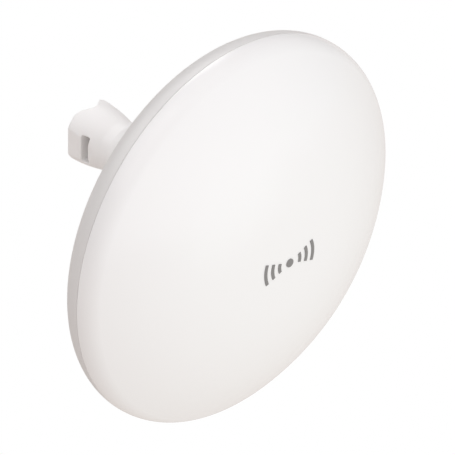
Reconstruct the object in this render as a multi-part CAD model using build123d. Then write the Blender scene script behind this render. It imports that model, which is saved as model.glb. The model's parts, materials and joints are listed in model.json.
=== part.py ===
from build123d import *
import math
import os

os.makedirs("parts", exist_ok=True)

# Outdoor wireless bridge: a round directional radio under a white domed cover, with a
# ball joint and a bracket that clamps to a mast.
#
# Row frame, in millimetres: the origin is the bottom of the bracket's V saddle, where the
# mast rests. +Y points out of the saddle towards the mast, the dish looks along -Y, and
# +Z is up. Two lines along Y carry nearly everything: the bracket axis at height zero,
# and the dish axis DISH_Z below it. "Station" is the distance behind the seam plane, the
# plane where the cover meets the rear shell, so points in front of it are negative.
# "Height" is the distance above the dish axis.

# Driving dimensions
DISH_RADIUS = 94.5
SEAM_Y = -83.0
DISH_Z = -9.5
SEAM_GAP = 0.5
WALL = 2.4

# Domed cover
DOME_HEIGHT = 39.8
DOME_EDGE_RADIUS = 14.0
DOME_CROWN_RADIUS = 300.0
DOME_CROWN_REACH = 23.0
DOME_WALL = 2.0
TONGUE_OUTER = 92.1
TONGUE_INNER = 90.0
TONGUE_DEPTH = 2.0
SEAL_THICKNESS = 1.0

# Rear shell
BOWL_EDGE_RADIUS = 14.5
BOWL_DEPTH = 31.0
LAND_RADIUS = 92.2
LEDGE_RADIUS = 89.5
NECK_RADIUS = 24.0
NECK_END = 36.5
NECK_WALL = 2.5
NECK_BLEND = 4.0
HUB_HOLE_RADIUS = 35.0
HUB_PLATE_RADIUS = 39.5
HUB_PLATE_RISE = 1.6
HUB_SPIGOT_DEPTH = 0.8

# Port tower under the neck
TOWER_HALF_WIDTH = 14.0
TOWER_TOP = -15.0
TOWER_BOTTOM = -34.5
TOWER_START = 27.4
TOWER_END = 46.0
TOWER_WALL = 2.0
GUIDE_START = 38.0
GUIDE_WIDTH = 1.8
GUIDE_DEPTH = 1.0

# Port cover
COVER_GAP = 0.3
COVER_WALL = 1.8
COVER_END = 64.0
LATCH_STATION = 43.0
LATCH_HEIGHT = -30.0
LATCH_RADIUS = 1.9
OUTLET_STATION = 55.0
OUTLET_RADIUS = 3.4
GROMMET_NECK_RADIUS = 4.9
GROMMET_FLANGE_RADIUS = 6.0
GROMMET_FLANGE = 0.8

# Reflector and feed
REFLECTOR_THICKNESS = 0.8
REFLECTOR_RIM_RADIUS = 88.0
REFLECTOR_BEND_RADIUS = 82.0
REFLECTOR_FLAT_RADIUS = 17.0
REFLECTOR_RIM_STATION = 5.5
REFLECTOR_CENTRE_STATION = 22.0
REFLECTOR_SCREWS = 6
REFLECTOR_SCREW_CIRCLE = 85.0
FEED_RADIUS = 8.0
FEED_WALL = 1.0
FEED_FRONT = -26.0
FEED_BACK = 25.2
FEED_BASE_RADIUS = 16.0
FEED_BASE_THICKNESS = 3.0
SUB_RADIUS = 16.5
SUB_STATION = -30.0

# Radio board
BOARD_FRONT = 25.5
BOARD_THICKNESS = 1.6
BOARD_RADIUS = 20.5
BOARD_BACK = BOARD_FRONT + BOARD_THICKNESS
BOARD_SCREW_PLACES = ((-14.5, 10.0), (14.5, 10.0), (0.0, -12.5))
JACK_HALF_WIDTH = 8.0
JACK_TOP = -18.0
JACK_BOTTOM = -31.5
JACK_END = TOWER_END - TOWER_WALL
SOCKET_HALF_WIDTH = 5.9
SOCKET_TOP = -20.1
SOCKET_BOTTOM = -28.4
SOCKET_FLOOR = 31.0
RESET_X = 10.0
RESET_HEIGHT = -25.0
RESET_RADIUS = 1.0
LIGHT_X = -18.0
LIGHT_HEIGHTS = (-6.0, -2.5, 1.0, 4.5)
LIGHT_RADIUS = 0.9

# Ball joint, all on the bracket axis
BALL_STATION = 54.0
BALL_RADIUS = 11.0
STEM_RADIUS = 5.5
FLANGE_RADIUS = 10.5
FLANGE_THICKNESS = 3.0
STUD_SCREW_CIRCLE = 7.6
RUNNING_GAP = 0.06
RING_GAP = 0.1
BALL_CLEARANCE = 0.4
RING_OUTER = 12.5
RING_START = 51.5
RING_END = 59.6
RING_SPLIT = 1.6
PIN_RADIUS = 1.5
PIN_INNER = 8.6
PIN_OUTER = 12.4
SLOT_SWING = 28.0

# Lock nut and slip washer
NUT_OUTER = 17.0
NUT_INNER = 14.9
NUT_START = 47.0
NUT_END = 57.0
NUT_MOUTH_RADIUS = 10.2
NUT_SEAT_STATION = 49.8
NUT_SEAT_RADIUS = 10.9
NUT_FLUTES = 20
NUT_FLUTE_RADIUS = 1.1
WASHER_START = 49.9
WASHER_END = 51.4
WASHER_INNER = 11.2
WASHER_OUTER = 13.6

# Pole bracket
THREAD_RADIUS = 14.6
THREAD_START = 51.8
THREAD_END = 59.7
THREAD_TAPER = 4.0
WAIST_RADIUS = 12.2
BELL_RADIUS = 14.8
BELL_CURVE_RADIUS = 70.0
BELL_HALF_WIDTH = 13.0
EAR_DEPTH = 4.8
EAR_STATION = -SEAM_Y + EAR_DEPTH
SADDLE_HALF_WIDTH = 6.9
SADDLE_ROOT_RADIUS = 4.0
BAND_SLOT_Y = -6.2
BAND_SLOT_WIDTH = 4.3
BAND_SLOT_HEIGHT = 13.8
EDGE_ROUND = 0.8
EAR_ROUND = 1.4
SLOT_ROUND = 0.3


# Placing helpers

def at_station(distance):
    """Row Y of the plane this far behind the seam plane."""
    return SEAM_Y + distance


def polar(centre, radius, degrees):
    """Point on a circle in a turning section: 0 degrees faces the mast side, 90 outward."""
    angle = math.radians(degrees)
    return (centre[0] + radius * math.sin(angle), centre[1] + radius * math.cos(angle))


def arc(centre, radius, first, last):
    """Arc of a turning section, between two angles as polar() counts them."""
    middle = (first + last) / 2
    return ThreePointArc(*(polar(centre, radius, turn) for turn in (first, middle, last)))


def turned(outline, height=0.0):
    """Solid turned about the dish axis from a closed outline in (radius, station)."""
    face = make_face(outline)
    return Pos(0, SEAM_Y, DISH_Z + height) * revolve(face, Axis.Y)


def turned_points(points, height=0.0):
    """Solid turned about the dish axis from straight-sided (radius, station) corners."""
    return turned(Polyline(*points, close=True), height)


def ring(inner, outer, start, end, height=0.0):
    """Plain ring about a line along Y."""
    corners = ((inner, start), (outer, start), (outer, end), (inner, end))
    return turned_points(corners, height)


def rod(radius, start, end, x=0.0, height=0.0):
    """Round rod along Y between two stations."""
    middle = at_station((start + end) / 2)
    return Pos(x, middle, DISH_Z + height) * Rotation(90, 0, 0) * Cylinder(radius, end - start)


def block(x_low, x_high, start, end, low, high):
    """Box between two x, two stations and two heights."""
    middle = ((x_low + x_high) / 2, at_station((start + end) / 2), DISH_Z + (low + high) / 2)
    return Pos(*middle) * Box(x_high - x_low, end - start, high - low)


BRACKET_HEIGHT = -DISH_Z


# Domed cover

def dome_centres():
    """Centres and radii of the crown, flank and edge arcs, which meet tangentially."""
    crown = (0.0, DOME_CROWN_RADIUS - DOME_HEIGHT)
    edge = (DISH_RADIUS - DOME_EDGE_RADIUS, 0.0)
    tilt = math.asin(DOME_CROWN_REACH / DOME_CROWN_RADIUS)
    reach = DOME_CROWN_RADIUS - DOME_EDGE_RADIUS
    spread = edge[0] ** 2 + crown[1] ** 2 - reach ** 2
    slant = edge[0] * math.sin(tilt) + crown[1] * math.cos(tilt) - reach
    shift = spread / (2 * slant)
    flank = (shift * math.sin(tilt), crown[1] - shift * math.cos(tilt))
    flank_radius = DOME_CROWN_RADIUS - shift
    shoulder = math.atan2(edge[0] - flank[0], flank[1])
    return crown, flank, flank_radius, edge, math.degrees(tilt), math.degrees(shoulder)


def dome_arcs(inset, last_angle):
    """Section of the dome from its centre to near the rim, moved inward by inset."""
    crown, flank, flank_radius, edge, tilt, shoulder = dome_centres()
    return [
        arc(crown, DOME_CROWN_RADIUS - inset, 180, 180 - tilt),
        arc(flank, flank_radius - inset, 180 - tilt, 180 - shoulder),
        arc(edge, DOME_EDGE_RADIUS - inset, 180 - shoulder, last_angle),
    ]


def make_radome():
    """Dome with a tongue that drops inside the rear shell's rim."""
    edge_centre = DISH_RADIUS - DOME_EDGE_RADIUS
    outer_end = 90 + math.degrees(math.asin(SEAM_GAP / 2 / DOME_EDGE_RADIUS))
    inner_radius = DOME_EDGE_RADIUS - DOME_WALL
    inner_end = 180 - math.degrees(math.asin((TONGUE_INNER - edge_centre) / inner_radius))
    outside = dome_arcs(0.0, outer_end)
    inside = dome_arcs(DOME_WALL, inner_end)
    rim = outside[-1] @ 1
    tongue = Polyline(
        rim,
        (TONGUE_OUTER, -SEAM_GAP / 2),
        (TONGUE_OUTER, TONGUE_DEPTH),
        (TONGUE_INNER, TONGUE_DEPTH),
        inside[-1] @ 1,
    )
    axis_side = Line(inside[0] @ 0, outside[0] @ 0)
    return turned(outside + [tongue] + inside + [axis_side])


def make_radome_seal():
    """Soft ring squeezed between the tongue and the shell's ledge."""
    return ring(TONGUE_INNER, TONGUE_OUTER, TONGUE_DEPTH, TONGUE_DEPTH + SEAL_THICKNESS)


def make_front_emblem():
    """Thin raised signal mark on the crown: a dot between two pairs of arcs."""
    thickness = 0.35
    dot_radius = 2.1
    bar_width = 1.6
    bar_radii = (6.4, 10.6, 14.8)
    half_opening = 21.0
    mark = Circle(dot_radius)
    for radius in bar_radii:
        band = Circle(radius + bar_width / 2) - Circle(radius - bar_width / 2)
        for side in (0, 180):
            reach = 2 * radius
            rise = reach * math.tan(math.radians(half_opening))
            corners = ((0, 0), (reach, -rise), (reach, rise))
            wedge = Rotation(0, 0, side) * make_face(Polyline(*corners, close=True))
            mark += band & wedge
    crown_centre = at_station(DOME_CROWN_RADIUS - DOME_HEIGHT)
    skin = Pos(0, crown_centre, DISH_Z) * (
        Sphere(DOME_CROWN_RADIUS + thickness) - Sphere(DOME_CROWN_RADIUS)
    )
    front = Plane(origin=(0, at_station(-DOME_HEIGHT), DISH_Z), z_dir=(0, -1, 0), x_dir=(1, 0, 0))
    stamp = extrude(front * mark, amount=2.0, both=True)
    return stamp & skin


# Rear shell

def bowl_radius():
    """Radius of the bowl's arc, tangent to the rounded edge and BOWL_DEPTH deep."""
    edge = DISH_RADIUS - BOWL_EDGE_RADIUS
    spread = edge ** 2 + BOWL_DEPTH ** 2 - BOWL_EDGE_RADIUS ** 2
    return spread / (2 * (BOWL_DEPTH - BOWL_EDGE_RADIUS))


def bowl_arcs(inset, first_angle):
    """Section of the bowl from near the rim to its centre, moved inward by inset."""
    edge = (DISH_RADIUS - BOWL_EDGE_RADIUS, 0.0)
    radius = bowl_radius()
    centre = (0.0, BOWL_DEPTH - radius)
    join = math.degrees(math.asin(edge[0] / (radius - BOWL_EDGE_RADIUS)))
    return [
        arc(edge, BOWL_EDGE_RADIUS - inset, first_angle, join),
        arc(centre, radius - inset, join, 0),
    ]


def bowl_filled():
    """Bowl filled up to the rim plane."""
    lip = SEAM_GAP / 2
    first = 90 - math.degrees(math.asin(lip / BOWL_EDGE_RADIUS))
    skin = bowl_arcs(0.0, first)
    closing = Polyline(skin[-1] @ 1, (0, lip), skin[0] @ 0)
    return turned(skin + [closing])


def shell_inside():
    """Space inside the rear shell, down to the rim's land and ledge."""
    ledge = TONGUE_DEPTH + SEAL_THICKNESS
    edge_centre = DISH_RADIUS - BOWL_EDGE_RADIUS
    inner_edge = BOWL_EDGE_RADIUS - WALL
    first = math.degrees(math.asin((LEDGE_RADIUS - edge_centre) / inner_edge))
    skin = bowl_arcs(WALL, first)
    closing = Polyline(
        skin[-1] @ 1,
        (0, -1),
        (LAND_RADIUS, -1),
        (LAND_RADIUS, ledge),
        (LEDGE_RADIUS, ledge),
        skin[0] @ 0,
    )
    return turned(skin + [closing])


def reflector_screw_spots():
    """(x, height) of each screw around the reflector's rim."""
    spots = []
    for index in range(REFLECTOR_SCREWS):
        angle = math.radians(360 * index / REFLECTOR_SCREWS + 30)
        spots.append((REFLECTOR_SCREW_CIRCLE * math.cos(angle),
                      REFLECTOR_SCREW_CIRCLE * math.sin(angle)))
    return spots


def stud_screw_spots():
    """(x, height) of the three screws that hold the ball stud to the neck."""
    spots = []
    for degrees in (90, 210, 330):
        angle = math.radians(degrees)
        spots.append((STUD_SCREW_CIRCLE * math.cos(angle),
                      BRACKET_HEIGHT + STUD_SCREW_CIRCLE * math.sin(angle)))
    return spots


REFLECTOR_BACK = REFLECTOR_RIM_STATION + REFLECTOR_THICKNESS
REFLECTOR_SCREW_RADIUS = 1.1
REFLECTOR_SCREW_DEPTH = 3.4
BOARD_SCREW_RADIUS = 1.0
BOARD_SCREW_DEPTH = 4.0
STUD_SCREW_RADIUS = 1.2


def make_rear_shell():
    """Bowl with a ledge for the cover, bosses for the reflector and a hole for the hub."""
    boss_radius = 3.0
    outside = bowl_filled()
    shell = outside - shell_inside()
    for x, height in reflector_screw_spots():
        shell += rod(boss_radius, REFLECTOR_BACK, BOWL_EDGE_RADIUS, x, height) & outside
        depth = REFLECTOR_BACK + REFLECTOR_SCREW_DEPTH
        shell -= rod(REFLECTOR_SCREW_RADIUS, REFLECTOR_BACK, depth, x, height)
    return shell - rod(HUB_HOLE_RADIUS, 0.0, NECK_END)


# Rear hub: plate, neck and port tower

def bowl_cap(offset, reach, floor):
    """Bowl's central sphere, moved outward by offset, cut to a disc of this radius."""
    radius = bowl_radius() + offset
    centre = (0.0, BOWL_DEPTH - bowl_radius())
    edge_angle = math.degrees(math.asin(reach / radius))
    cap = arc(centre, radius, edge_angle, 0)
    closing = Polyline(cap @ 1, (0, floor), (reach, floor), cap @ 0)
    return make_face([cap, closing])


def hub_outside():
    """Plate that lies on the bowl, with the neck blended into it."""
    plate = bowl_cap(HUB_PLATE_RISE, HUB_PLATE_RADIUS, BOARD_FRONT - 1)
    neck = make_face(Polyline((0, BOARD_FRONT), (NECK_RADIUS, BOARD_FRONT),
                              (NECK_RADIUS, NECK_END), (0, NECK_END), close=True))
    outline = plate + neck
    on_neck = outline.vertices().filter_by(lambda v: abs(v.X - NECK_RADIUS) < 0.01)
    outline = fillet(on_neck.sort_by(Axis.Y)[0], NECK_BLEND)
    on_brim = outline.vertices().filter_by(lambda v: abs(v.Y - NECK_END) < 0.01)
    outline = fillet(on_brim.sort_by(Axis.X)[-1], EDGE_ROUND)
    on_plate = outline.vertices().filter_by(lambda v: abs(v.X - HUB_PLATE_RADIUS) < 0.01)
    outline = fillet(on_plate.sort_by(Axis.Y)[-1], EDGE_ROUND)
    return Pos(0, SEAM_Y, DISH_Z) * revolve(outline, Axis.Y)


def tower_block(inset, start, end):
    """Tower's rectangular section with rounded long edges, moved inward by inset."""
    corner = 3.0 - inset / 2
    body = block(-TOWER_HALF_WIDTH + inset, TOWER_HALF_WIDTH - inset, start, end,
                 TOWER_BOTTOM + inset, TOWER_TOP - inset)
    return fillet(body.edges().filter_by(Axis.Y), corner)


def make_rear_hub():
    """Hub plate, neck and port tower in one moulding, with its bosses and openings."""
    boss_radius = 2.4
    hub = hub_outside() + tower_block(0.0, TOWER_START, TOWER_END)
    hub -= bowl_filled() - rod(HUB_HOLE_RADIUS, 0.0, NECK_END)
    inside = bowl_cap(-HUB_SPIGOT_DEPTH, HUB_PLATE_RADIUS, 0.0)
    hub -= Pos(0, SEAM_Y, DISH_Z) * revolve(inside, Axis.Y)
    hub -= rod(NECK_RADIUS - WALL, BOARD_FRONT - 1, NECK_END - NECK_WALL)
    hub -= tower_block(TOWER_WALL, BOARD_FRONT - 1, JACK_END)
    for x, height in BOARD_SCREW_PLACES:
        hub += rod(boss_radius, BOARD_BACK, NECK_END - NECK_WALL, x, height)
        hub -= rod(BOARD_SCREW_RADIUS, BOARD_BACK, BOARD_BACK + BOARD_SCREW_DEPTH, x, height)
    for x, height in stud_screw_spots():
        hub -= rod(STUD_SCREW_RADIUS, NECK_END - NECK_WALL, NECK_END, x, height)
    for height in LIGHT_HEIGHTS:
        hub -= rod(LIGHT_RADIUS, NECK_END - NECK_WALL, NECK_END, LIGHT_X, height)
    for opening in tower_openings():
        hub -= opening
    return hub


def tower_openings():
    """Socket window, reset hole, the two cover guides and the latch recess."""
    margin = 0.4
    window = block(-SOCKET_HALF_WIDTH - margin, SOCKET_HALF_WIDTH + margin,
                   JACK_END - 1, TOWER_END + 1,
                   SOCKET_BOTTOM - margin, SOCKET_TOP + margin)
    reset_hole = rod(RESET_RADIUS + RUNNING_GAP, JACK_END - 1, TOWER_END + 1,
                     RESET_X, RESET_HEIGHT)
    guide_floor = TOWER_HALF_WIDTH - GUIDE_DEPTH
    guides = []
    for side in (-1, 1):
        edges = sorted((side * guide_floor, side * (TOWER_HALF_WIDTH + 1)))
        guides.append(block(*edges, GUIDE_START, GUIDE_START + GUIDE_WIDTH,
                            TOWER_BOTTOM - 1, TOWER_TOP - 1.5))
    recess_depth = 1.1
    recess = side_rod(LATCH_RADIUS + 0.9, TOWER_HALF_WIDTH - recess_depth,
                      TOWER_HALF_WIDTH + 1)
    return [window, reset_hole, recess] + guides


def side_rod(radius, x_low, x_high):
    """Round rod along X on the latch button's own line."""
    place = Pos((x_low + x_high) / 2, at_station(LATCH_STATION), DISH_Z + LATCH_HEIGHT)
    return place * Rotation(0, 90, 0) * Cylinder(radius, x_high - x_low)


# Port cover, latch button and grommet

COVER_OUTER = TOWER_HALF_WIDTH + COVER_GAP + COVER_WALL
COVER_INNER = TOWER_HALF_WIDTH + COVER_GAP
COVER_START = GUIDE_START + COVER_GAP
COVER_TOP = TOWER_TOP - COVER_GAP
COVER_FLOOR = TOWER_BOTTOM - COVER_GAP
COVER_BOTTOM = COVER_FLOOR - COVER_WALL
LATCH_COLLAR_RADIUS = LATCH_RADIUS + 0.6
LATCH_COLLAR_THICKNESS = 0.7


def make_port_cover():
    """Hood behind the tower that hooks into the side guides and slides down."""
    body = block(-COVER_OUTER, COVER_OUTER, COVER_START, COVER_END, COVER_BOTTOM, COVER_TOP)
    back_corners = body.edges().filter_by(Axis.Z).group_by(Axis.Y)[-1]
    body = fillet(back_corners, 5.0)
    back_rim = body.faces().sort_by(Axis.Z)[-1].edges() + body.faces().sort_by(Axis.Z)[0].edges()
    body = fillet([edge for edge in back_rim if edge.center().Y > at_station(COVER_START + 1)], 1.0)
    hollow = block(-COVER_INNER, COVER_INNER, TOWER_END + COVER_GAP, COVER_END - COVER_WALL,
                   COVER_FLOOR, COVER_TOP - COVER_WALL)
    hollow = fillet(hollow.edges().filter_by(Axis.Z).group_by(Axis.Y)[-1], 3.2)
    saddle = block(-COVER_INNER, COVER_INNER, COVER_START - 1, TOWER_END + COVER_GAP,
                   COVER_FLOOR, COVER_TOP + 1)
    body -= hollow
    body -= saddle
    hook_end = COVER_START + GUIDE_WIDTH - 2 * COVER_GAP
    hook_reach = GUIDE_DEPTH + COVER_GAP - 0.2
    for side in (-1, 1):
        edges = sorted((side * COVER_INNER, side * (COVER_INNER - hook_reach)))
        body += block(*edges, COVER_START, hook_end, COVER_FLOOR, COVER_TOP - COVER_WALL)
    body -= side_rod(LATCH_RADIUS + RUNNING_GAP, COVER_INNER - 1, COVER_OUTER + 1)
    body -= side_rod(LATCH_COLLAR_RADIUS + 0.1, COVER_INNER - 0.1,
                     COVER_INNER + LATCH_COLLAR_THICKNESS + 0.1)
    hole = Pos(0, at_station(OUTLET_STATION), DISH_Z + COVER_BOTTOM + COVER_WALL / 2)
    body -= hole * Cylinder(GROMMET_NECK_RADIUS, COVER_WALL + 1)
    return body


def make_latch_button():
    """Push button in the cover's side, kept in by a collar."""
    proud = 0.9
    collar_end = COVER_INNER + 0.05 + LATCH_COLLAR_THICKNESS
    button = side_rod(LATCH_RADIUS, COVER_INNER + 0.05, COVER_OUTER + proud)
    face = button.faces().sort_by(Axis.X)[-1]
    button = fillet(face.edges(), 0.3)
    return button + side_rod(LATCH_COLLAR_RADIUS, COVER_INNER + 0.05, collar_end)


def make_cable_grommet():
    """Rubber grommet clipped in the cover's floor, for the network cable."""
    waist = COVER_WALL
    section = (
        (OUTLET_RADIUS, -GROMMET_FLANGE),
        (GROMMET_FLANGE_RADIUS, -GROMMET_FLANGE),
        (GROMMET_FLANGE_RADIUS, 0),
        (GROMMET_NECK_RADIUS, 0),
        (GROMMET_NECK_RADIUS, waist),
        (GROMMET_FLANGE_RADIUS, waist),
        (GROMMET_FLANGE_RADIUS, waist + GROMMET_FLANGE),
        (OUTLET_RADIUS, waist + GROMMET_FLANGE),
    )
    face = Plane.XZ * make_face(Polyline(*section, close=True))
    place = Pos(0, at_station(OUTLET_STATION), DISH_Z + COVER_BOTTOM)
    return place * revolve(face, Axis.Z)


# Reflector and feed

def reflector_front(radius):
    """Station of the reflector's front skin: a parabola between flat centre and flat rim."""
    depth = REFLECTOR_CENTRE_STATION - REFLECTOR_RIM_STATION
    span = REFLECTOR_BEND_RADIUS ** 2 - REFLECTOR_FLAT_RADIUS ** 2
    return REFLECTOR_CENTRE_STATION - depth * (radius ** 2 - REFLECTOR_FLAT_RADIUS ** 2) / span


def reflector_curve(offset):
    """Parabola through evenly spaced radii, moved back by offset."""
    steps = 6
    width = REFLECTOR_BEND_RADIUS - REFLECTOR_FLAT_RADIUS
    radii = [REFLECTOR_FLAT_RADIUS + width * step / steps for step in range(steps + 1)]
    return Spline(*((radius, reflector_front(radius) + offset) for radius in radii))


def make_reflector():
    """Spun aluminium dish with a flat centre, a flat rim and screw holes."""
    hole = FEED_RADIUS + 0.2
    front = reflector_curve(0.0)
    back = reflector_curve(REFLECTOR_THICKNESS)
    rim = Polyline(
        front @ 1,
        (REFLECTOR_RIM_RADIUS, REFLECTOR_RIM_STATION),
        (REFLECTOR_RIM_RADIUS, REFLECTOR_BACK),
        back @ 1,
    )
    centre = Polyline(
        back @ 0,
        (hole, REFLECTOR_CENTRE_STATION + REFLECTOR_THICKNESS),
        (hole, REFLECTOR_CENTRE_STATION),
        front @ 0,
    )
    dish = turned([front, rim, back, centre])
    for x, height in reflector_screw_spots():
        dish -= rod(REFLECTOR_SCREW_RADIUS, REFLECTOR_RIM_STATION - 1, REFLECTOR_BACK + 1, x, height)
    for x, height in feed_screw_spots():
        dish -= rod(FEED_SCREW_RADIUS, REFLECTOR_CENTRE_STATION - 1,
                    REFLECTOR_CENTRE_STATION + 2, x, height)
    return dish


FEED_SCREW_RADIUS = 1.0


def feed_screw_spots():
    """(x, height) of the three screws behind the feed base."""
    circle = 12.2
    turns = (math.radians(degrees) for degrees in (90, 210, 330))
    return [(circle * math.cos(turn), circle * math.sin(turn)) for turn in turns]


def make_feed_base():
    """Flange that seats the feed tube on the reflector's flat centre."""
    start = REFLECTOR_CENTRE_STATION - FEED_BASE_THICKNESS
    chamfer_size = 1.0
    corners = (
        (FEED_RADIUS, start),
        (FEED_BASE_RADIUS - chamfer_size, start),
        (FEED_BASE_RADIUS, start + chamfer_size),
        (FEED_BASE_RADIUS, REFLECTOR_CENTRE_STATION),
        (FEED_RADIUS, REFLECTOR_CENTRE_STATION),
    )
    base = turned_points(corners)
    for x, height in feed_screw_spots():
        base -= rod(FEED_SCREW_RADIUS, REFLECTOR_CENTRE_STATION - 2.2,
                    REFLECTOR_CENTRE_STATION, x, height)
    return base


def make_feed_tube():
    """Round waveguide from the radio board to the focus."""
    return ring(FEED_RADIUS - FEED_WALL, FEED_RADIUS, FEED_FRONT, FEED_BACK)


def make_feed_cone():
    """Plastic cone that plugs into the tube and carries the sub-reflector."""
    corners = (
        (0, FEED_FRONT + 8),
        (FEED_RADIUS - FEED_WALL, FEED_FRONT + 8),
        (FEED_RADIUS - FEED_WALL, FEED_FRONT),
        (FEED_RADIUS, FEED_FRONT),
        (SUB_RADIUS - 2.5, SUB_STATION),
        (0, SUB_STATION),
    )
    return turned_points(corners)


def make_sub_reflector():
    """Small metal disc with a rolled rim that throws the beam back to the dish."""
    corners = (
        (0, SUB_STATION - 1.0),
        (SUB_RADIUS, SUB_STATION - 1.0),
        (SUB_RADIUS, SUB_STATION + 1.2),
        (SUB_RADIUS - 0.8, SUB_STATION + 1.2),
        (SUB_RADIUS - 0.8, SUB_STATION),
        (0, SUB_STATION),
    )
    return turned_points(corners)


# Radio board and what is on it

def make_radio_board():
    """Round board with a tab that reaches down into the port tower."""
    board = rod(BOARD_RADIUS, BOARD_FRONT, BOARD_BACK)
    margin = 0.9
    tab_half_width = TOWER_HALF_WIDTH - TOWER_WALL - margin
    board += block(-tab_half_width, tab_half_width, BOARD_FRONT, BOARD_BACK,
                   TOWER_BOTTOM + TOWER_WALL + margin, 0)
    for x, height in BOARD_SCREW_PLACES:
        board -= rod(BOARD_SCREW_RADIUS, BOARD_FRONT - 1, BOARD_BACK + 1, x, height)
    return board


SHIELD_HALF_WIDTH = 9.0
SHIELD_LOW = -6.0
SHIELD_HIGH = 11.0
SHIELD_END = BOARD_BACK + 2.8
SHIELD_WALL = 0.4
CHIP_THICKNESS = 1.1


def make_board_shield():
    """Pressed metal can over the radio chip."""
    can = block(-SHIELD_HALF_WIDTH, SHIELD_HALF_WIDTH, BOARD_BACK, SHIELD_END,
                SHIELD_LOW, SHIELD_HIGH)
    inner = SHIELD_HALF_WIDTH - SHIELD_WALL
    can -= block(-inner, inner, BOARD_BACK - 1, SHIELD_END - SHIELD_WALL,
                 SHIELD_LOW + SHIELD_WALL, SHIELD_HIGH - SHIELD_WALL)
    return can


def make_radio_chip():
    """Radio chip under the can."""
    return block(-5, 5, BOARD_BACK, BOARD_BACK + CHIP_THICKNESS, -2.5, 7.5)


def make_thermal_pad():
    """Soft pad that carries the chip's heat to the can."""
    return block(-4.5, 4.5, BOARD_BACK + CHIP_THICKNESS, SHIELD_END - SHIELD_WALL, -2, 7)


def make_ethernet_jack():
    """Upright network jack with its socket facing the cover, and a clip channel."""
    body = block(-JACK_HALF_WIDTH, JACK_HALF_WIDTH, BOARD_BACK, JACK_END, JACK_BOTTOM, JACK_TOP)
    body -= block(-SOCKET_HALF_WIDTH, SOCKET_HALF_WIDTH, SOCKET_FLOOR, JACK_END + 1,
                  SOCKET_BOTTOM, SOCKET_TOP)
    clip_half_width = 3.2
    clip_depth = 1.6
    body -= block(-clip_half_width, clip_half_width, SOCKET_FLOOR + 4, JACK_END + 1,
                  SOCKET_BOTTOM - clip_depth, SOCKET_BOTTOM)
    return body


def make_reset_switch():
    """Tact switch on the board's tab, with its short stem."""
    half = 1.7
    body_end = BOARD_BACK + 1.8
    body = block(RESET_X - half, RESET_X + half, BOARD_BACK, body_end,
                 RESET_HEIGHT - half, RESET_HEIGHT + half)
    return body + rod(0.8, body_end, body_end + 0.3, RESET_X, RESET_HEIGHT)


def make_reset_button():
    """Long plunger from the tower's back wall to the switch, kept in by a collar."""
    start = BOARD_BACK + 2.8
    end = TOWER_END - 0.4
    collar_end = JACK_END - 0.2
    plunger = rod(RESET_RADIUS, start, end, RESET_X, RESET_HEIGHT)
    return plunger + rod(RESET_RADIUS + 0.7, collar_end - 1.0, collar_end, RESET_X, RESET_HEIGHT)


def make_status_leds():
    """Four small lamps on the board."""
    half = 0.8
    lamps = [block(LIGHT_X - half, LIGHT_X + half, BOARD_BACK, BOARD_BACK + 1.2,
                   height - half, height + half) for height in LIGHT_HEIGHTS]
    return Compound(children=lamps)


def make_light_pipes():
    """Clear pipes from the lamps to the neck's back face."""
    start = BOARD_BACK + 1.6
    pipes = [rod(LIGHT_RADIUS, start, NECK_END, LIGHT_X, height) for height in LIGHT_HEIGHTS]
    return Compound(children=pipes)


# Fasteners

def screw(radius, head_radius, head_start, head_end, tip, x, height):
    """Pan-head screw along Y with a shallow cross recess in its head."""
    body = rod(head_radius, *sorted((head_start, head_end)), x, height)
    body += rod(radius, *sorted((head_end, tip)), x, height)
    depth = 0.45 * (head_end - head_start)
    arm = 0.7 * head_radius
    for half_x, half_z in ((arm, 0.25), (0.25, arm)):
        cut = sorted((head_start, head_start + depth))
        body -= block(x - half_x, x + half_x, *cut, height - half_z, height + half_z)
    return body


def make_reflector_screws():
    """Screws through the reflector's rim into the shell's bosses."""
    tip = REFLECTOR_BACK + REFLECTOR_SCREW_DEPTH - 0.2
    head = REFLECTOR_RIM_STATION - 1.4
    screws = [screw(REFLECTOR_SCREW_RADIUS, 2.2, head, REFLECTOR_RIM_STATION, tip, x, height)
              for x, height in reflector_screw_spots()]
    return Compound(children=screws)


def make_feed_screws():
    """Screws from behind the reflector into the feed base."""
    seat = REFLECTOR_CENTRE_STATION + REFLECTOR_THICKNESS
    tip = REFLECTOR_CENTRE_STATION - 2.0
    screws = [screw(FEED_SCREW_RADIUS, 1.9, seat + 1.2, seat, tip, x, height)
              for x, height in feed_screw_spots()]
    return Compound(children=screws)


def make_board_screws():
    """Screws through the radio board into the neck's bosses."""
    tip = BOARD_BACK + BOARD_SCREW_DEPTH - 0.2
    screws = [screw(BOARD_SCREW_RADIUS, 1.9, BOARD_FRONT - 1.2, BOARD_FRONT, tip, x, height)
              for x, height in BOARD_SCREW_PLACES]
    return Compound(children=screws)


def make_ball_stud_screws():
    """Screws from inside the neck into the ball stud's flange."""
    seat = NECK_END - NECK_WALL
    tip = NECK_END + FLANGE_THICKNESS - 0.9
    screws = [screw(STUD_SCREW_RADIUS, 2.3, seat - 1.8, seat, tip, x, height)
              for x, height in stud_screw_spots()]
    return Compound(children=screws)


# Ball joint

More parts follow.
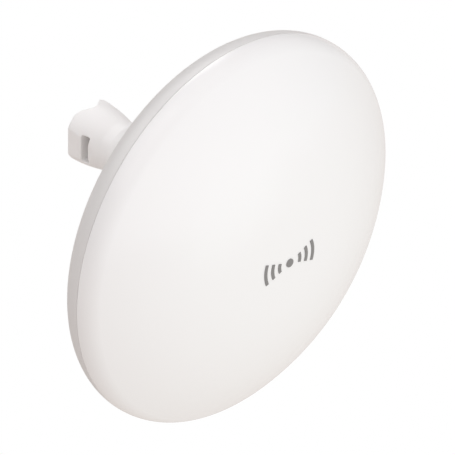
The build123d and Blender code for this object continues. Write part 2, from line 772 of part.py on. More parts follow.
def make_ball_stud():
    """Ball on a stem and flange, with a slot for each key pin."""
    blend = 2.0
    flange_end = NECK_END + FLANGE_THICKNESS
    outline = Polyline(
        (0, NECK_END),
        (FLANGE_RADIUS, NECK_END),
        (FLANGE_RADIUS, flange_end),
        (STEM_RADIUS, flange_end),
        (STEM_RADIUS, BALL_STATION),
        (0, BALL_STATION),
        close=True,
    )
    face = make_face(outline)
    inner_corner = face.vertices().filter_by(
        lambda v: abs(v.X - STEM_RADIUS) < 0.01 and abs(v.Y - flange_end) < 0.01
    )
    stem = Pos(0, SEAM_Y, 0) * revolve(fillet(inner_corner, blend), Axis.Y)
    stud = stem + Pos(0, at_station(BALL_STATION), 0) * Sphere(BALL_RADIUS)
    for slot in key_slots():
        stud -= slot
    for x, height in stud_screw_spots():
        stud -= rod(STUD_SCREW_RADIUS, NECK_END, flange_end - 0.8, x, height)
    return stud


def key_slots():
    """Two curved slots over and under the ball, in its fore-and-aft plane."""
    half_width = PIN_RADIUS + RUNNING_GAP
    floor = PIN_INNER - 0.4
    slots = []
    for side in (0, 180):
        section = Pos(0, 0, (floor + RING_OUTER) / 2) * (
            Rotation(90, 0, 0) * Rectangle(2 * half_width, RING_OUTER - floor)
        )
        swept = Rotation(-SLOT_SWING, 0, 0) * revolve(section, Axis.X, 2 * SLOT_SWING)
        slots.append(Pos(0, at_station(BALL_STATION), 0) * Rotation(side, 0, 0) * swept)
    return slots


def make_ball_clamp_ring():
    """Split ring with a spherical seat that grips the ball, and two key-pin holes."""
    body = ring(0.0, RING_OUTER, RING_START, RING_END, BRACKET_HEIGHT)
    body -= Pos(0, at_station(BALL_STATION), 0) * Sphere(BALL_RADIUS + RUNNING_GAP)
    body -= Pos(0, at_station(BALL_STATION), 0) * Cylinder(PIN_RADIUS + RUNNING_GAP, 3 * RING_OUTER)
    split_low = BRACKET_HEIGHT - RING_SPLIT / 2
    body -= block(0, RING_OUTER + 1, RING_START - 1, RING_END + 1, split_low, split_low + RING_SPLIT)
    return body


def make_key_pins():
    """Two pins on one upright line that key the ball to the ring."""
    length = PIN_OUTER - PIN_INNER
    reach = (PIN_OUTER + PIN_INNER) / 2
    pins = []
    for side in (-1, 1):
        pins.append(Pos(0, at_station(BALL_STATION), side * reach) * Cylinder(PIN_RADIUS, length))
    return Compound(children=pins)


def make_slip_washer():
    """Flat washer between the lock nut and the clamp ring."""
    return ring(WASHER_INNER, WASHER_OUTER, WASHER_START, WASHER_END, BRACKET_HEIGHT)


def make_lock_nut():
    """Fluted nut with a mouth that the ball's stem tilts in."""
    chamfer_size = 2.2
    corners = (
        (NUT_MOUTH_RADIUS, NUT_START),
        (NUT_OUTER - chamfer_size, NUT_START),
        (NUT_OUTER, NUT_START + chamfer_size),
        (NUT_OUTER, NUT_END - EDGE_ROUND),
        (NUT_OUTER - EDGE_ROUND, NUT_END),
        (NUT_INNER, NUT_END),
        (NUT_INNER, NUT_SEAT_STATION),
        (NUT_SEAT_RADIUS, NUT_SEAT_STATION),
    )
    nut = turned_points(corners, BRACKET_HEIGHT)
    flute_line = NUT_OUTER + 0.35
    for index in range(NUT_FLUTES):
        turn = math.radians(360 * index / NUT_FLUTES)
        nut -= rod(NUT_FLUTE_RADIUS, NUT_START - 1, NUT_END + 1,
                   flute_line * math.cos(turn), BRACKET_HEIGHT + flute_line * math.sin(turn))
    return nut


# Pole bracket

def bell_section():
    """Turning section of the bracket: thread, waist and bell that flares to the ears."""
    bell_start = THREAD_END + THREAD_TAPER - 0.5
    rise = BELL_RADIUS - WAIST_RADIUS
    run = math.sqrt(BELL_CURVE_RADIUS ** 2 - (BELL_CURVE_RADIUS - rise) ** 2)
    flare_start = EAR_STATION - run
    middle = EAR_STATION - run / 2
    drop = BELL_CURVE_RADIUS - math.sqrt(BELL_CURVE_RADIUS ** 2 - (run / 2) ** 2)
    flare = ThreePointArc((WAIST_RADIUS, flare_start), (BELL_RADIUS - drop, middle),
                          (BELL_RADIUS, EAR_STATION))
    rest = Polyline((BELL_RADIUS, EAR_STATION), (0, EAR_STATION), (0, bell_start),
                    (WAIST_RADIUS, bell_start), (WAIST_RADIUS, flare_start))
    return [flare, rest]


def saddle_cutter():
    """Upright V with a rounded root at the origin, for the mast."""
    slope = EAR_DEPTH / SADDLE_HALF_WIDTH
    reach = 2 * SADDLE_HALF_WIDTH
    outline = Polyline((0, 0), (reach, reach * slope), (-reach, reach * slope), close=True)
    face = make_face(outline)
    root = face.vertices().sort_by(Axis.Y)[0]
    face = fillet(root, SADDLE_ROOT_RADIUS)
    lowest = min(edge.bounding_box().min.Y for edge in face.edges())
    return Pos(0, -lowest, 0) * extrude(face, amount=2 * BELL_RADIUS, both=True)


def slot_mouths(bell):
    """Edges of the band slot on the bell's two outer faces."""
    margin = 0.1
    reach = BAND_SLOT_WIDTH / 2 + margin
    rise = BAND_SLOT_HEIGHT / 2 + margin
    side_radius = WAIST_RADIUS - 1.5
    depth_spread = 2.0
    mouths = []
    for edge in bell.edges():
        box = edge.bounding_box()
        beside = abs(box.min.Y - BAND_SLOT_Y) < reach and abs(box.max.Y - BAND_SLOT_Y) < reach
        level = abs(box.min.Z) < rise and abs(box.max.Z) < rise
        outside = min(abs(box.min.X), abs(box.max.X)) > side_radius
        if beside and level and outside and box.size.X < depth_spread:
            mouths.append(edge)
    return mouths


def make_pole_bracket():
    """Threaded socket for the ball, and a bell with a V saddle and a clamp-band slot."""
    bell = turned(bell_section(), BRACKET_HEIGHT)
    bell &= Box(2 * BELL_HALF_WIDTH, 4 * EAR_STATION, 4 * BELL_RADIUS)
    bell -= saddle_cutter()
    ear_ends = [edge for edge in bell.edges() if abs(edge.center().Y - EAR_DEPTH) < 0.01]
    bell = fillet(ear_ends, EAR_ROUND)
    slot = Box(4 * BELL_RADIUS, BAND_SLOT_WIDTH, BAND_SLOT_HEIGHT)
    slot = fillet(slot.edges().filter_by(Axis.X), EDGE_ROUND)
    bell -= Pos(0, BAND_SLOT_Y, 0) * slot
    bell = fillet(slot_mouths(bell), SLOT_ROUND)
    chamfer_size = 0.8
    socket = turned_points((
        (0, THREAD_START),
        (THREAD_RADIUS - chamfer_size, THREAD_START),
        (THREAD_RADIUS, THREAD_START + chamfer_size),
        (THREAD_RADIUS, THREAD_END),
        (WAIST_RADIUS, THREAD_END + THREAD_TAPER),
        (0, THREAD_END + THREAD_TAPER),
    ), BRACKET_HEIGHT)
    bracket = bell + socket
    shoulder = RING_END + RING_GAP
    bracket -= ring(0.0, RING_OUTER + RUNNING_GAP, THREAD_START - 1, shoulder, BRACKET_HEIGHT)
    bracket -= Pos(0, at_station(BALL_STATION), 0) * Sphere(BALL_RADIUS + BALL_CLEARANCE)
    return bracket


NODES = {
    "pole_bracket": make_pole_bracket,
    "lock_nut": make_lock_nut,
    "slip_washer": make_slip_washer,
    "ball_clamp_ring": make_ball_clamp_ring,
    "key_pins": make_key_pins,
    "ball_stud": make_ball_stud,
    "ball_stud_screws": make_ball_stud_screws,
    "rear_shell": make_rear_shell,
    "rear_hub": make_rear_hub,
    "radome": make_radome,
    "radome_seal": make_radome_seal,
    "front_emblem": make_front_emblem,
    "reflector": make_reflector,
    "reflector_screws": make_reflector_screws,
    "feed_base": make_feed_base,
    "feed_screws": make_feed_screws,
    "feed_tube": make_feed_tube,
    "feed_cone": make_feed_cone,
    "sub_reflector": make_sub_reflector,
    "radio_board": make_radio_board,
    "board_shield": make_board_shield,
    "radio_chip": make_radio_chip,
    "thermal_pad": make_thermal_pad,
    "board_screws": make_board_screws,
    "ethernet_jack": make_ethernet_jack,
    "reset_switch": make_reset_switch,
    "reset_button": make_reset_button,
    "status_leds": make_status_leds,
    "light_pipes": make_light_pipes,
    "port_cover": make_port_cover,
    "cover_latch_button": make_latch_button,
    "cable_grommet": make_cable_grommet,
}

for node, make in NODES.items():
    export_step(make(), f"parts/{node}.step")
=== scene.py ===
import json
import math

import bmesh
import bpy
from mathutils import Matrix, Vector


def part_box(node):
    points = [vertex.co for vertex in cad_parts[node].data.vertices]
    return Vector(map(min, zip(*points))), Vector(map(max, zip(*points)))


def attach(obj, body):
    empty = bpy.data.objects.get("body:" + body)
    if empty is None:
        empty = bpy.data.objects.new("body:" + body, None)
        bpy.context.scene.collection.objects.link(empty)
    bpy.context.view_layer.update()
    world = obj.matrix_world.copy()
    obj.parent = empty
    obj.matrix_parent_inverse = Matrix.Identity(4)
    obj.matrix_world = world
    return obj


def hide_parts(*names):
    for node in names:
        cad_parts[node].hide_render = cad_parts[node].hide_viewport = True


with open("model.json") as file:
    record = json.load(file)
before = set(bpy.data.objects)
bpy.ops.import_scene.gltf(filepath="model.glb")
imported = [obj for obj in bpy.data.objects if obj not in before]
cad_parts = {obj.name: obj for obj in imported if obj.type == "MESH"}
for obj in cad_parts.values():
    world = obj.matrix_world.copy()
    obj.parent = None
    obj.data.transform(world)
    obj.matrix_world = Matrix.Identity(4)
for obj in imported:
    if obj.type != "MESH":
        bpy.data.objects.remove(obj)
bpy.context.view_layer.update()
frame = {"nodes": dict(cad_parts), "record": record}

NODES = frame["nodes"]
MM = 0.001

# Places worked out from the frame, in metres
SHELL_LOW, SHELL_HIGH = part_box("rear_shell")
DOME_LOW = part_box("radome")[0]
NUT_LOW, NUT_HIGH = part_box("lock_nut")
RING_LOW, RING_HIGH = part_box("ball_clamp_ring")
DISH_X = (SHELL_LOW.x + SHELL_HIGH.x) / 2
DISH_Z = (SHELL_LOW.z + SHELL_HIGH.z) / 2
HALF_GAP = 0.25 * MM
SEAM_CENTRE = Vector((DISH_X, SHELL_LOW.y - HALF_GAP, DISH_Z))

DISH_SEGMENTS = 288

# The sections below are in millimetres, as (radius, station). Station is the distance
# behind the seam plane between the cover and the rear shell.
DISH_RADIUS = (SHELL_HIGH.x - SHELL_LOW.x) / 2 / MM
DOME_HEIGHT = (SEAM_CENTRE.y - DOME_LOW.y) / MM
DOME_EDGE = 14.0
DOME_CROWN = 300.0
DOME_REACH = 23.0
DOME_WALL = 2.0
BOWL_EDGE = 14.5
BOWL_DEPTH = 31.0
BOWL_WALL = 2.4
HUB_HOLE = 35.0
SEAM_HALF_WIDTH = 0.0625
SEAM_LIP = 0.15
SEAM_GROOVE = 0.35
TONGUE_INNER = 90.0
TONGUE_OUTER = 92.1
TONGUE_END = 2.0
TONGUE_CHAMFER = 0.2
LEDGE_INNER = 89.5
LEDGE_OUTER = 92.2
LEDGE_STATION = 3.0
BOSS_COUNT = 6
BOSS_CIRCLE = 85.0
BOSS_RADIUS = 3.0
BOSS_START = 6.3
BOSS_END = 11.8
NUT_OUTER = 17.0
NUT_THREAD = 14.9
NUT_MOUTH = 10.2
NUT_SEAT_RADIUS = 10.9
NUT_SEAT_STATION = 49.8
NUT_CHAMFER = 2.2
NUT_FLUTES = 20
FLUTE_DEPTH = 0.8


# Stage

ROSE = (1.0, 0.97, 0.98, 1)
WARM = (1.0, 0.918, 0.873, 1)
COOL = (0.78, 1.0, 1.0, 1)
NEUTRAL = (1.0, 1.0, 1.0, 1)


def wire(tree, *links):
    for source, target in links:
        tree.links.new(source, target)


def make_camera():
    """Orthographic camera on the isometric line, aimed a little off the dish centre."""
    width_seen = 202.85 * MM
    aim_right = 0.446 * MM
    aim_down = 0.490 * MM
    distance = 0.8
    back = Vector((-1, -1, 1)).normalized()
    turn = back.to_track_quat("Z", "Y")
    camera = bpy.data.objects.new("camera", bpy.data.cameras.new("camera"))
    camera.data.type = "ORTHO"
    camera.data.ortho_scale = width_seen
    camera.data.clip_end = 10
    camera.rotation_mode = "QUATERNION"
    camera.rotation_quaternion = turn
    right = turn @ Vector((1, 0, 0))
    up = turn @ Vector((0, 1, 0))
    camera.location = SEAM_CENTRE + right * aim_right - up * aim_down + back * distance
    bpy.context.collection.objects.link(camera)
    bpy.context.scene.camera = camera


def make_world():
    """Soft studio surround, brightest in front of the dish, and white to the camera."""
    world = bpy.data.worlds.new("studio")
    bpy.context.scene.world = world
    world.use_nodes = True
    tree = world.node_tree
    nodes = tree.nodes
    nodes.clear()
    brightness = 0.57
    coords = nodes.new("ShaderNodeTexCoord")
    slope = nodes.new("ShaderNodeVectorMath")
    slope.operation = "DOT_PRODUCT"
    slope.inputs[1].default_value = (0, -brightness, 0)
    level = nodes.new("ShaderNodeMath")
    level.operation = "ADD"
    level.inputs[1].default_value = brightness
    studio = nodes.new("ShaderNodeBackground")
    studio.inputs["Color"].default_value = ROSE
    seen = nodes.new("ShaderNodeBackground")
    seen.inputs["Color"].default_value = (1, 1, 1, 1)
    path = nodes.new("ShaderNodeLightPath")
    mix = nodes.new("ShaderNodeMixShader")
    out = nodes.new("ShaderNodeOutputWorld")
    wire(tree,
         (coords.outputs["Generated"], slope.inputs[0]),
         (slope.outputs["Value"], level.inputs[0]),
         (level.outputs[0], studio.inputs["Strength"]),
         (path.outputs["Is Camera Ray"], mix.inputs["Fac"]),
         (studio.outputs[0], mix.inputs[1]),
         (seen.outputs[0], mix.inputs[2]),
         (mix.outputs[0], out.inputs["Surface"]))


def make_floor():
    """Pale floor, far enough below to take no shadow. Its warm glow lights the underside."""
    size = 4.0
    level = -0.6
    mesh = bpy.data.meshes.new("floor")
    places = ((-1, -1), (1, -1), (1, 1), (-1, 1))
    corners = [(size * x, size * y, level) for x, y in places]
    mesh.from_pydata(corners, [], [(0, 1, 2, 3)])
    floor = bpy.data.objects.new("floor", mesh)
    bpy.context.collection.objects.link(floor)
    material = bpy.data.materials.new("floor_white")
    material.use_nodes = True
    tree = material.node_tree
    tree.nodes.clear()
    glow = tree.nodes.new("ShaderNodeEmission")
    glow.inputs["Color"].default_value = WARM
    glow.inputs["Strength"].default_value = 0.74
    seen = tree.nodes.new("ShaderNodeEmission")
    path = tree.nodes.new("ShaderNodeLightPath")
    mix = tree.nodes.new("ShaderNodeMixShader")
    out = tree.nodes.new("ShaderNodeOutputMaterial")
    wire(tree,
         (path.outputs["Is Camera Ray"], mix.inputs["Fac"]),
         (glow.outputs[0], mix.inputs[1]),
         (seen.outputs[0], mix.inputs[2]),
         (mix.outputs[0], out.inputs["Surface"]))
    mesh.materials.append(material)


def make_area(name, direction, distance, size, power, colour, glossy=True):
    """Square softbox that faces the dish from this direction. One that is not glossy
    lights the dish without showing in its sheen."""
    light = bpy.data.lights.new(name, "AREA")
    light.color = colour[:3]
    light.size = size
    light.energy = power
    lamp = bpy.data.objects.new(name, light)
    lamp.visible_glossy = glossy
    way = Vector(direction).normalized()
    lamp.location = SEAM_CENTRE + way * distance
    lamp.rotation_mode = "QUATERNION"
    lamp.rotation_quaternion = way.to_track_quat("Z", "Y")
    bpy.context.collection.objects.link(lamp)


def make_lights():
    """Broad front fill, a softbox above the left edge, a small top one and two behind."""
    make_area("front_low", (0.25, -0.9, -0.4), 1.6, 1.0, 9.8, COOL, False)
    make_area("top_left", (-0.5, 0.0, 0.85), 1.0, 0.9, 1.5, NEUTRAL)
    make_area("top", (0.1, -0.1, 1.0), 1.0, 0.7, 0.5, NEUTRAL)
    make_area("back_right", (0.3, 0.6, 0.75), 0.9, 0.5, 1.7, NEUTRAL)
    make_area("back_left", (-0.3, 0.75, 0.6), 0.9, 0.4, 1.35, NEUTRAL)


# Mesh helpers

def polar(centre, radius, degrees):
    """Point on a circle in a section: 0 degrees faces the mast side, 90 outward."""
    angle = math.radians(degrees)
    return (centre[0] + radius * math.sin(angle), centre[1] + radius * math.cos(angle))


def arc(centre, radius, first, last, steps):
    """Points along an arc of a section, both ends included."""
    turns = (first + (last - first) * step / steps for step in range(steps + 1))
    return [polar(centre, radius, turn) for turn in turns]


def rounded(corners, steps=4):
    """Closed section from (radius, station, rounding) corners, each corner cut by an arc."""
    points = []
    count = len(corners)
    for index, (x, y, rounding) in enumerate(corners):
        here = Vector((x, y))
        before = Vector(corners[index - 1][:2]) - here
        after = Vector(corners[(index + 1) % count][:2]) - here
        half = before.angle(after) / 2
        if rounding <= 0 or half < 0.01:
            points.append((x, y))
            continue
        cut = rounding / math.tan(half)
        first = here + before.normalized() * cut
        last = here + after.normalized() * cut
        middle = (before.normalized() + after.normalized()).normalized()
        centre = here + middle * (rounding / math.sin(half))
        start = first - centre
        sweep = start.angle_signed(last - centre)
        for step in range(steps + 1):
            turn = Matrix.Rotation(-sweep * step / steps, 2)
            points.append(tuple(centre + turn @ start))
    return points


def add_lathe(bm, section, segments, x=0.0, height=0.0, shape=None):
    """Turns a closed section about a line along Y, at x and height in millimetres from
    the dish axis. Points on the axis become one vertex. shape(radius, station, turn) may
    change a point's radius."""
    rings = []
    for radius, station in section:
        if radius < 1e-6:
            place = Vector((DISH_X + x * MM, SEAM_CENTRE.y + station * MM, DISH_Z + height * MM))
            rings.append([bm.verts.new(place)])
            continue
        row = []
        for index in range(segments):
            turn = 2 * math.pi * index / segments
            reach = shape(radius, station, turn) if shape else radius
            row.append(bm.verts.new((
                DISH_X + (x + reach * math.cos(turn)) * MM,
                SEAM_CENTRE.y + station * MM,
                DISH_Z + (height + reach * math.sin(turn)) * MM)))
        rings.append(row)
    for first, second in zip(rings, rings[1:] + rings[:1]):
        if len(first) == 1 and len(second) == 1:
            continue
        for index in range(segments):
            after = (index + 1) % segments
            loop = [first[0], first[0]] if len(first) == 1 else [first[index], first[after]]
            loop += [second[0], second[0]] if len(second) == 1 else [second[after], second[index]]
            corners = list(dict.fromkeys(loop))
            bm.faces.new(corners)


def piece(name, bm, body, slot, *nodes):
    """Turns bmesh geometry into a finished piece that stands for these CAD nodes."""
    sharp_from = math.radians(32)
    bmesh.ops.recalc_face_normals(bm, faces=bm.faces)
    mesh = bpy.data.meshes.new(name)
    bm.to_mesh(mesh)
    bm.free()
    mesh.polygons.foreach_set("use_smooth", [True] * len(mesh.polygons))
    mesh.set_sharp_from_angle(angle=sharp_from)
    mesh.materials.append(MATERIALS[slot])
    obj = bpy.data.objects.new(name, mesh)
    bpy.context.collection.objects.link(obj)
    weighted = obj.modifiers.new("normals", "WEIGHTED_NORMAL")
    weighted.keep_sharp = True
    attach(obj, body)
    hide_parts(*nodes)
    return obj


# Materials

class Shades:
    """A material's node tree, with short calls for the nodes that recur."""

    def __init__(self, name):
        self.material = bpy.data.materials.new(name)
        self.material.use_nodes = True
        self.tree = self.material.node_tree
        self.shader = self.tree.nodes["Principled BSDF"]
        self.place = self.tree.nodes.new("ShaderNodeTexCoord").outputs["Object"]

    def set(self, **values):
        for key, value in values.items():
            self.shader.inputs[key.replace("_", " ")].default_value = value

    def link(self, source, target):
        self.tree.links.new(source, target)

    def noise(self, scale, detail=3.0, place=None, roughness=0.5):
        node = self.tree.nodes.new("ShaderNodeTexNoise")
        node.inputs["Scale"].default_value = scale
        node.inputs["Detail"].default_value = detail
        node.inputs["Roughness"].default_value = roughness
        self.link(place or self.place, node.inputs["Vector"])
        return node.outputs["Fac"]

    def span(self, value, low, high, start=0.0, end=1.0):
        node = self.tree.nodes.new("ShaderNodeMapRange")
        node.inputs["From Min"].default_value = start
        node.inputs["From Max"].default_value = end
        node.inputs["To Min"].default_value = low
        node.inputs["To Max"].default_value = high
        self.link(value, node.inputs["Value"])
        return node.outputs["Result"]

    def math(self, operation, first, second):
        node = self.tree.nodes.new("ShaderNodeMath")
        node.operation = operation
        for socket, value in zip(node.inputs, (first, second)):
            if isinstance(value, (int, float)):
                socket.default_value = value
            else:
                self.link(value, socket)
        return node.outputs[0]

    def blend(self, factor, first, second):
        """Colour between two colours; each is a tuple or a socket."""
        node = self.tree.nodes.new("ShaderNodeMix")
        node.data_type = "RGBA"
        self.link(factor, node.inputs["Factor"])
        for socket, value in ((node.inputs["A"], first), (node.inputs["B"], second)):
            if isinstance(value, tuple):
                socket.default_value = (*value, 1)
            else:
                self.link(value, socket)
        return node.outputs["Result"]

    def bump(self, height, strength, distance, normal=None):
        node = self.tree.nodes.new("ShaderNodeBump")
        node.inputs["Strength"].default_value = strength
        node.inputs["Distance"].default_value = distance
        self.link(height, node.inputs["Height"])
        if normal:
            self.link(normal, node.inputs["Normal"])
        return node.outputs["Normal"]

    def stretched(self, scale):
        node = self.tree.nodes.new("ShaderNodeMapping")
        node.inputs["Scale"].default_value = scale
        self.link(self.place, node.inputs["Vector"])
        return node.outputs["Vector"]

    def wire(self, colour=None, roughness=None, normal=None, metallic=None):
        for name, socket in (("Base Color", colour), ("Roughness", roughness),
                             ("Normal", normal), ("Metallic", metallic)):
            if socket:
                self.link(socket, self.shader.inputs[name])
        return self.material


def scaled(colour, factor):
    return tuple(channel * factor for channel in colour)


def moulded(name, colour, roughness, grain=0.012, flow=0.985, painted_shade=0.9, sheen=0.5):
    """Moulded plastic: cloudy tone, uneven gloss, spark-eroded grain, painted shade in the
    corners.
    """
    uneven = 0.03
    shades = Shades(name)
    shades.set(Specular_IOR_Level=sheen)
    cloud = shades.noise(18, 4)
    tone = shades.blend(cloud, scaled(colour, flow), colour)
    # Painted shade: ambient occlusion within 1.2 mm darkens the colour in hollows and corners.
    hollow = shades.tree.nodes.new("ShaderNodeAmbientOcclusion")
    hollow.samples = 4
    hollow.inputs["Distance"].default_value = 1.2 * MM
    painted_shade_mask = shades.span(hollow.outputs["AO"], 0.0, 1.0, 0.25, 0.8)
    tone = shades.blend(painted_shade_mask, scaled(colour, painted_shade), tone)
    patches = shades.noise(140, 5, roughness=0.62)
    gloss = shades.span(patches, roughness - uneven, roughness + uneven, 0.3, 0.7)
    skin = shades.noise(2600, 2)
    waves = shades.noise(35, 1)
    low = shades.bump(waves, 0.06, 0.05 * MM)
    fine = shades.bump(skin, 0.3, grain * MM, low)
    return shades.wire(tone, gloss, fine)


def spun_metal(name, colour, roughness):
    """Metal turned on a lathe: fine rings about the dish axis, with a satin sheen."""
    shades = Shades(name)
    shades.set(Metallic=1.0)
    nodes = shades.tree.nodes
    centred = nodes.new("ShaderNodeVectorMath")
    centred.operation = "SUBTRACT"
    centred.inputs[1].default_value = (DISH_X, 0, DISH_Z)
    flat = nodes.new("ShaderNodeVectorMath")
    flat.operation = "MULTIPLY"
    flat.inputs[1].default_value = (1, 0, 1)
    far = nodes.new("ShaderNodeVectorMath")
    far.operation = "LENGTH"
    rings = nodes.new("ShaderNodeTexNoise")
    rings.noise_dimensions = "1D"
    rings.inputs["Scale"].default_value = 2400
    rings.inputs["Detail"].default_value = 4
    shades.link(shades.place, centred.inputs[0])
    shades.link(centred.outputs[0], flat.inputs[0])
    shades.link(flat.outputs[0], far.inputs[0])
    shades.link(far.outputs["Value"], rings.inputs["W"])
    tone = shades.blend(shades.noise(30, 4), scaled(colour, 0.93), colour)
    gloss = shades.span(rings.outputs["Fac"], roughness - 0.08, roughness + 0.1)
    return shades.wire(tone, gloss, shades.bump(rings.outputs["Fac"], 0.25, 0.01 * MM))


def plated(name, colour, roughness):
    """Zinc or tin plate: faint crystal patches and small scratches."""
    shades = Shades(name)
    shades.set(Metallic=1.0)
    patches = shades.tree.nodes.new("ShaderNodeTexVoronoi")
    patches.inputs["Scale"].default_value = 900
    shades.link(shades.place, patches.inputs["Vector"])
    tone = shades.blend(patches.outputs["Distance"], scaled(colour, 0.86), colour)
    scratches = shades.noise(1.0, 5, shades.stretched((300, 5000, 900)))
    gloss = shades.span(scratches, roughness - 0.06, roughness + 0.12)
    return shades.wire(tone, gloss, shades.bump(scratches, 0.15, 0.006 * MM))


def rubber(name, colour):
    """Soft black rubber: matte, dusty and faintly pitted."""
    shades = Shades(name)
    shades.set(Specular_IOR_Level=0.3)
    dust = shades.noise(160, 5, roughness=0.7)
    tone = shades.blend(shades.span(dust, 0, 1, 0.4, 0.8), colour, scaled(colour, 1.8))
    gloss = shades.span(dust, 0.62, 0.85, 0.3, 0.7)
    return shades.wire(tone, gloss, shades.bump(shades.noise(1800, 4), 0.35, 0.03 * MM))


def board_laminate(name):
    """Circuit board: green mask over copper tracks."""
    shades = Shades(name)
    nodes = shades.tree.nodes
    tracks = nodes.new("ShaderNodeTexBrick")
    tracks.inputs["Scale"].default_value = 300
    tracks.inputs["Mortar Size"].default_value = 0.16
    tracks.inputs["Mortar Smooth"].default_value = 0.2
    turned = nodes.new("ShaderNodeMapping")
    turned.inputs["Rotation"].default_value = (math.radians(90), 0, 0)
    shades.link(shades.place, turned.inputs["Vector"])
    shades.link(turned.outputs["Vector"], tracks.inputs["Vector"])
    regions = shades.span(shades.noise(60, 1), 0, 1, 0.48, 0.52)
    pattern = shades.math("MULTIPLY", tracks.outputs["Fac"], regions)
    green = shades.blend(pattern, (0.012, 0.11, 0.045), (0.03, 0.2, 0.08))
    gloss = shades.span(shades.noise(500, 3), 0.25, 0.4)
    shades.set(Coat_Weight=0.4, Coat_Roughness=0.15)
    return shades.wire(green, gloss, shades.bump(pattern, 0.4, 0.03 * MM))


def clear_plastic(name):
    """Clear polished pipe with a slightly milky core."""
    shades = Shades(name)
    shades.set(Transmission_Weight=0.75, IOR=1.49)
    milky = shades.blend(shades.noise(300, 3), (0.82, 0.86, 0.88), (0.93, 0.95, 0.96))
    gloss = shades.span(shades.noise(900, 4), 0.06, 0.2)
    return shades.wire(milky, gloss, shades.bump(shades.noise(1500, 2), 0.1, 0.005 * MM))


def chip_epoxy(name, colour):
    """Black moulding compound with fine glass filler specks."""
    shades = Shades(name)
    specks = shades.span(shades.noise(5200, 2), 0, 1, 0.62, 0.75)
    tone = shades.blend(specks, colour, scaled(colour, 3.2))
    gloss = shades.span(shades.noise(700, 4), 0.42, 0.62)
    return shades.wire(tone, gloss, shades.bump(specks, 0.2, 0.008 * MM))


def make_materials():
    """One material for each finish, by the name of its material slot."""
    return {
        "cover_plastic": moulded("cover_plastic", (0.93, 0.925, 0.92), 0.24, sheen=0.9),
        "shell_plastic": moulded("shell_plastic", (0.77, 0.757, 0.748), 0.42),
        "bracket_plastic": moulded("bracket_plastic", (0.933, 0.92, 0.912), 0.46, 0.016),
        "acetal": moulded("acetal", (0.78, 0.78, 0.75), 0.38, 0.006),
        "emblem_grey": moulded("emblem_grey", (0.26, 0.255, 0.25), 0.42, 0.004, 0.9),
        "button_grey": moulded("button_grey", (0.32, 0.32, 0.32), 0.45, 0.008, 0.93),
        "jack_black": moulded("jack_black", (0.028, 0.028, 0.03), 0.4, 0.01, 0.8),
        "spun_aluminium": spun_metal("spun_aluminium", (0.82, 0.82, 0.83), 0.3),
        "steel": plated("steel", (0.62, 0.63, 0.65), 0.28),
        "tinned_can": plated("tinned_can", (0.72, 0.72, 0.71), 0.34),
        "dark_rubber": rubber("dark_rubber", (0.035, 0.035, 0.036)),
        "pad_grey": rubber("pad_grey", (0.2, 0.24, 0.3)),
        "board_laminate": board_laminate("board_laminate"),
        "chip_black": chip_epoxy("chip_black", (0.018, 0.018, 0.02)),
        "clear_pipe": clear_plastic("clear_pipe"),
    }


# Pieces

def dome_section(inset, last, steps):
    """Dome's skin, moved inward, from the axis to this angle of its edge arc."""
    crown = (0.0, DOME_CROWN - DOME_HEIGHT)
    edge = (DISH_RADIUS - DOME_EDGE, 0.0)
    tilt = math.asin(DOME_REACH / DOME_CROWN)
    reach = DOME_CROWN - DOME_EDGE
    slant = edge[0] * math.sin(tilt) + crown[1] * math.cos(tilt) - reach
    shift = (edge[0] ** 2 + crown[1] ** 2 - reach ** 2) / (2 * slant)
    flank = (shift * math.sin(tilt), crown[1] - shift * math.cos(tilt))
    shoulder = math.degrees(math.atan2(edge[0] - flank[0], flank[1]))
    tilt = math.degrees(tilt)
    points = arc(crown, DOME_CROWN - inset, 180, 180 - tilt, steps[0])
    points += arc(flank, DOME_CROWN - shift - inset, 180 - tilt, 180 - shoulder, steps[1])[1:]
    return points + arc(edge, DOME_EDGE - inset, 180 - shoulder, last, steps[2])[1:]


def make_cover():
    """Domed cover with a softly rounded rim, and a tongue inside the rear shell."""
    skin = dome_section(0.0, 92, (14, 44, 44))
    lip_centre = (DISH_RADIUS - SEAM_LIP, -SEAM_HALF_WIDTH - SEAM_LIP)
    rim = arc(lip_centre, SEAM_LIP, 90, 0, 4)
    tongue = [
        (DISH_RADIUS - SEAM_GROOVE, -SEAM_HALF_WIDTH),
        (DISH_RADIUS - SEAM_GROOVE, 0.0),
        (TONGUE_OUTER, 0.0),
        (TONGUE_OUTER, TONGUE_END - TONGUE_CHAMFER),
        (TONGUE_OUTER - TONGUE_CHAMFER, TONGUE_END),
        (TONGUE_INNER + TONGUE_CHAMFER, TONGUE_END),
        (TONGUE_INNER, TONGUE_END - TONGUE_CHAMFER),
    ]
    inside = dome_section(DOME_WALL, 96, (6, 24, 12))[::-1]
    bm = bmesh.new()
    add_lathe(bm, skin + rim + tongue + inside, DISH_SEGMENTS)
    return piece("radome_cover", bm, "antenna", "cover_plastic", "radome")


def bowl_section(inset, first, steps, last_radius):
    """Rear shell's skin from near the rim to a hole of this radius."""
    edge = (DISH_RADIUS - BOWL_EDGE, 0.0)
    spread = edge[0] ** 2 + BOWL_DEPTH ** 2 - BOWL_EDGE ** 2
    radius = spread / (2 * (BOWL_DEPTH - BOWL_EDGE))
    centre = (0.0, BOWL_DEPTH - radius)
    join = math.degrees(math.asin(edge[0] / (radius - BOWL_EDGE)))
    hole = math.degrees(math.asin(last_radius / (radius - inset)))
    points = arc(edge, BOWL_EDGE - inset, first, join, steps[0])
    return points + arc(centre, radius - inset, join, hole, steps[1])[1:]


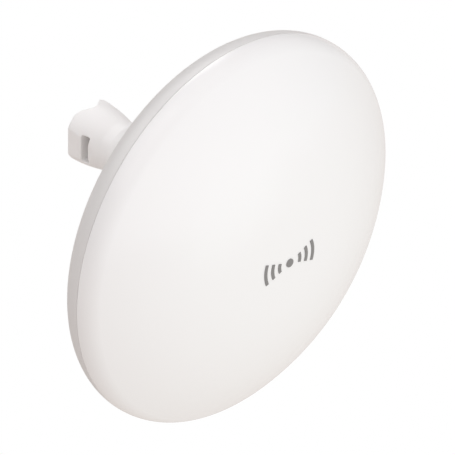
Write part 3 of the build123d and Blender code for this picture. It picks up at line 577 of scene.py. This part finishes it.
def make_shell():
    """Rear shell: a bowl with a rounded rim, a ledge for the seal and six screw bosses."""
    lip_centre = (DISH_RADIUS - SEAM_LIP, SEAM_HALF_WIDTH + SEAM_LIP)
    rim = arc(lip_centre, SEAM_LIP, 180, 90, 4)
    skin = bowl_section(0.0, 86, (26, 30), HUB_HOLE)
    ledge_reach = LEDGE_INNER - DISH_RADIUS + BOWL_EDGE
    first = math.degrees(math.asin(ledge_reach / (BOWL_EDGE - BOWL_WALL)))
    inside = bowl_section(BOWL_WALL, first, (12, 18), HUB_HOLE)[::-1]
    ledge = [
        (LEDGE_INNER, LEDGE_STATION),
        (LEDGE_OUTER, LEDGE_STATION),
        (LEDGE_OUTER, SEAM_HALF_WIDTH),
    ]
    boss = rounded([
        (0.0, BOSS_START, 0),
        (BOSS_RADIUS, BOSS_START, 0.3),
        (BOSS_RADIUS, BOSS_END, 0),
        (0.0, BOSS_END, 0),
    ])
    bm = bmesh.new()
    add_lathe(bm, rim + skin + inside + ledge, DISH_SEGMENTS)
    for index in range(BOSS_COUNT):
        turn = 2 * math.pi * (index + 0.5) / BOSS_COUNT
        add_lathe(bm, boss, 32, BOSS_CIRCLE * math.cos(turn), BOSS_CIRCLE * math.sin(turn))
    return piece("rear_bowl", bm, "antenna", "shell_plastic", "rear_shell")


def make_nut():
    """Lock nut with soft finger flutes that fade out at its chamfers."""
    start = (NUT_LOW.y - SEAM_CENTRE.y) / MM
    end = (NUT_HIGH.y - SEAM_CENTRE.y) / MM
    height = -DISH_Z / MM
    bore_limit = NUT_OUTER - NUT_CHAMFER - 0.4
    fade_end = end - 1.2
    fade_length = 3.0
    flute_edge = 0.78

    def fluted(radius, station, turn):
        """Even scallops sink the outer face. The bore stays round."""
        if radius < bore_limit:
            return radius
        wave = abs(math.cos(NUT_FLUTES * turn / 2))
        fade = min(1.0, max(0.0, (fade_end - station) / fade_length))
        scoop = max(0.0, (wave - flute_edge) / (1 - flute_edge)) ** 0.7
        return min(radius, NUT_OUTER - FLUTE_DEPTH * fade * scoop)

    side = [(NUT_OUTER, fade_end - fade_length + step, 0) for step in range(4)]
    section = rounded([
        (NUT_MOUTH, start, 0.3),
        (NUT_OUTER - NUT_CHAMFER, start, 0.5),
        (NUT_OUTER, start + NUT_CHAMFER, 0.5),
        *side,
        (NUT_OUTER, end, 0.8),
        (NUT_THREAD, end, 0.2),
        (NUT_THREAD, NUT_SEAT_STATION, 0),
        (NUT_SEAT_RADIUS, NUT_SEAT_STATION, 0.2),
    ])
    bm = bmesh.new()
    add_lathe(bm, section, 480, 0.0, height, fluted)
    return piece("lock_ring_nut", bm, "nut", "shell_plastic", "lock_nut")


def make_bracket():
    """Bracket as it is moulded: the same solid, with every edge and crease blended. Its
    hidden bore is opened a little, so that the clamp ring stays clear of the blends."""
    grid = 0.28 * MM
    merge_within = 0.005 * MM
    bore = (RING_HIGH.z - RING_LOW.z) / 2 + 0.3 * MM
    shoulder = RING_HIGH.y + 0.35 * MM
    source = NODES["pole_bracket"]
    shape = bpy.data.objects.new("bracket_shape", source.data.copy())
    shape.matrix_world = source.matrix_world
    bpy.context.collection.objects.link(shape)
    welded = shape.modifiers.new("weld", "WELD")
    welded.merge_threshold = merge_within
    remesh = shape.modifiers.new("grid", "REMESH")
    remesh.mode = "VOXEL"
    remesh.voxel_size = grid
    blend = shape.modifiers.new("blend", "SMOOTH")
    blend.factor = 0.5
    blend.iterations = 14
    bm = bmesh.new()
    bm.from_object(shape, bpy.context.evaluated_depsgraph_get())
    bm.transform(shape.matrix_world)
    bpy.data.objects.remove(shape)
    for vert in bm.verts:
        reach = math.hypot(vert.co.x, vert.co.z)
        inward = bore - reach
        ahead = shoulder - vert.co.y
        if 0 < inward <= ahead:
            vert.co.x *= bore / reach
            vert.co.z *= bore / reach
        elif 0 < ahead < inward:
            vert.co.y = shoulder
    return piece("mast_bracket", bm, "bracket", "bracket_plastic", "pole_bracket")


MATERIALS = make_materials()
bpy.context.scene.view_settings.view_transform = "Standard"
make_camera()
make_world()
make_floor()
make_lights()

for part in frame["record"]["subparts"]:
    mesh = NODES[part["node"]].data
    mesh.materials.clear()
    mesh.materials.append(MATERIALS[part["material_slot"]])

make_cover()
make_shell()
make_nut()
make_bracket()
